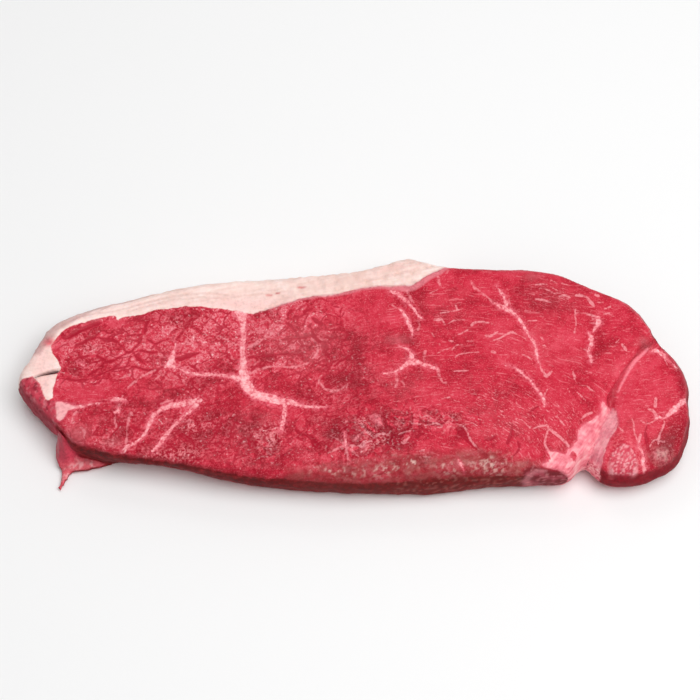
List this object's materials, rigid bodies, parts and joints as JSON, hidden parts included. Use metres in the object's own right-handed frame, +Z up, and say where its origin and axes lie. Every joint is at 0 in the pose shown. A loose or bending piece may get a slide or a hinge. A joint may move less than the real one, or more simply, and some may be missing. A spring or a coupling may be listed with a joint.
{
  "type": "raw sirloin steak",
  "caption": "Raw strip loin steak: a flat slice of marbled lean with a fat cap along its back edge, a folded tail at one end and a loose silverskin flap at the other.",
  "frame": {"origin": "middle of the steak's box at its bottom, on the surface it lies on", "axes": "+X along the slice towards the folded tail, +Y across it towards the fat cap, +Z up through its thickness"},
  "size_m": [0.267, 0.101, 0.0208],
  "materials": {
    "meat": "satin"
  },
  "bodies": {
    "root": {"steak": "meat"}
  },
  "joints": []
}
